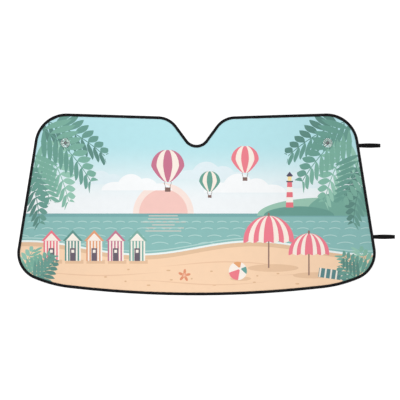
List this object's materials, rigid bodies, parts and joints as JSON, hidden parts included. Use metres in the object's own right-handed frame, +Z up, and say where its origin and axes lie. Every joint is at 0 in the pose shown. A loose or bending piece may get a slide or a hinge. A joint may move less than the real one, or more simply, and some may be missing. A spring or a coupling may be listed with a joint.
{
  "type": "car windscreen sunshade",
  "caption": "Flat printed car windscreen sunshade with a mirror notch, taped edge, elastic side loops and clear suction cups, lying print side up with a slight curl.",
  "frame": {"origin": "middle of the footprint of sheet and loops, on the surface that the sunshade lies on", "axes": "+X along the width, to the side with the elastic loops; +Y from the bowed bottom edge to the mirror notch; +Z up, out of the printed front"},
  "size_m": [1.3744, 0.6602, 0.0364],
  "materials": {
    "printed_sheet": "printed film with a soft sheen on the front, bare silver film behind",
    "black_tape": "woven polyester tape, slightly satin",
    "black_elastic": "ribbed woven elastic",
    "clear_vinyl": "clear soft vinyl, smooth"
  },
  "bodies": {
    "root": {"shade_panel": "printed_sheet", "edge_binding": "black_tape", "elastic_loop_upper": "black_elastic", "elastic_loop_lower": "black_elastic", "suction_cup_left": "clear_vinyl", "suction_cup_right": "clear_vinyl"}
  },
  "joints": []
}
